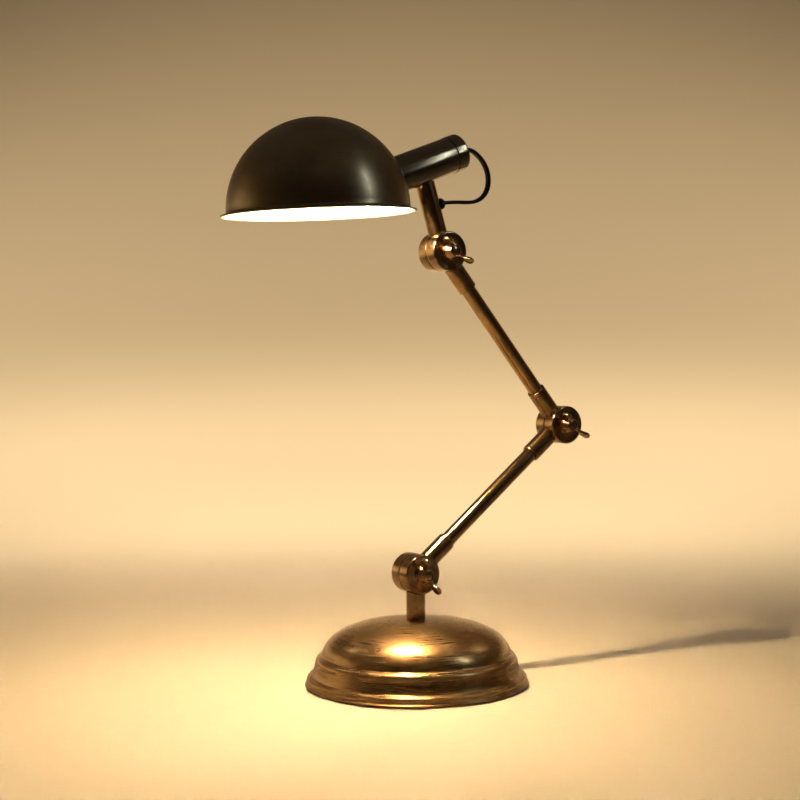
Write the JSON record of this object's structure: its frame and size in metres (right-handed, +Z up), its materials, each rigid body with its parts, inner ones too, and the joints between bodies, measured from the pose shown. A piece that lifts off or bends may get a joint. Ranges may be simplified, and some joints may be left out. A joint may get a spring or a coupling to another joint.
{
  "type": "swing arm desk lamp",
  "caption": "Swing arm desk lamp with a domed round base, folding tube arms on wing nut friction joints and a tilting dome shade.",
  "frame": {"origin": "centre of the felt's underside, on the surface that the base stands on", "axes": "+Z up; the arms fold in the XZ plane, with the elbow towards +X and the shade towards -X at rest; the wing nuts face -Y"},
  "size_m": [0.36, 0.2, 0.4984],
  "materials": {
    "antique_brass": "polished and darkened, clear lacquered",
    "dark_bronze": "dark bronze, brushed around the axis",
    "cast_iron": "as cast",
    "zinc_steel": "zinc plated",
    "bright_brass": "bright",
    "fibre": "matt friction fibre",
    "black_rubber": "matt",
    "black_pvc": "satin cable sheath",
    "white_ceramic": "glazed",
    "opal_glass": "opal, lit from inside",
    "felt": "dense wool felt"
  },
  "bodies": {
    "root": {"felt_pad": "felt", "base_plate": "zinc_steel", "plate_screw_1": "zinc_steel", "plate_screw_2": "zinc_steel", "plate_screw_3": "zinc_steel", "base_weight": "cast_iron", "base_shell": "antique_brass", "cord_inlet_grommet": "black_rubber", "post_nipple": "zinc_steel", "post_washer": "zinc_steel", "post_nut": "zinc_steel", "post_knuckle": "antique_brass", "wire_in_post": "black_pvc", "pivot_bolt_1": "antique_brass", "friction_ring_1": "fibre", "thrust_washer_1": "antique_brass"},
    "lower_arm": {"lower_arm_lower_knuckle": "antique_brass", "lower_arm_upper_knuckle": "antique_brass", "lower_arm_tube": "antique_brass", "wire_in_lower_arm": "black_pvc", "pivot_bolt_2": "antique_brass", "friction_ring_2": "fibre", "thrust_washer_2": "antique_brass"},
    "upper_arm": {"upper_arm_lower_knuckle": "antique_brass", "upper_arm_upper_knuckle": "antique_brass", "upper_arm_tube": "antique_brass", "wire_in_upper_arm": "black_pvc", "pivot_bolt_3": "antique_brass", "friction_ring_3": "fibre", "thrust_washer_3": "antique_brass"},
    "head": {"neck_knuckle": "antique_brass", "neck_grommet": "black_rubber", "wire_in_neck": "black_pvc", "socket_housing": "dark_bronze", "housing_end_cap": "dark_bronze", "cap_gland": "black_rubber", "lampholder": "white_ceramic", "centre_contact": "bright_brass", "shade_ring": "zinc_steel", "bulb_screw_cap": "zinc_steel", "bulb_globe": "opal_glass", "wire_in_housing": "black_pvc", "shade": "dark_bronze", "head_lead": "black_pvc"},
    "wing_nut_1": {"wing_nut_1": "antique_brass"},
    "wing_nut_2": {"wing_nut_2": "antique_brass"},
    "wing_nut_3": {"wing_nut_3": "antique_brass"}
  },
  "joints": [
    {"name": "base_joint", "type": "hinge", "parent": "root", "child": "lower_arm", "pos_m": [0, 0, 0.0993], "axis": [0, -1, 0], "range_deg": [-30, 50]},
    {"name": "elbow_joint", "type": "hinge", "parent": "lower_arm", "child": "upper_arm", "pos_m": [0.16312, 0, 0.22674], "axis": [0, -1, 0], "range_deg": [-91, 25]},
    {"name": "head_joint", "type": "hinge", "parent": "upper_arm", "child": "head", "pos_m": [0.03201, 0, 0.38693], "axis": [0, -1, 0], "range_deg": [-80, 70]},
    {"name": "wing_nut_1_turn", "type": "hinge", "parent": "root", "child": "wing_nut_1", "pos_m": [0, 0, 0.0993], "axis": [0, -1, 0], "continuous": true},
    {"name": "wing_nut_2_turn", "type": "hinge", "parent": "lower_arm", "child": "wing_nut_2", "pos_m": [0.16312, 0, 0.22674], "axis": [0, -1, 0], "continuous": true},
    {"name": "wing_nut_3_turn", "type": "hinge", "parent": "upper_arm", "child": "wing_nut_3", "pos_m": [0.03201, 0, 0.38693], "axis": [0, -1, 0], "continuous": true}
  ]
}
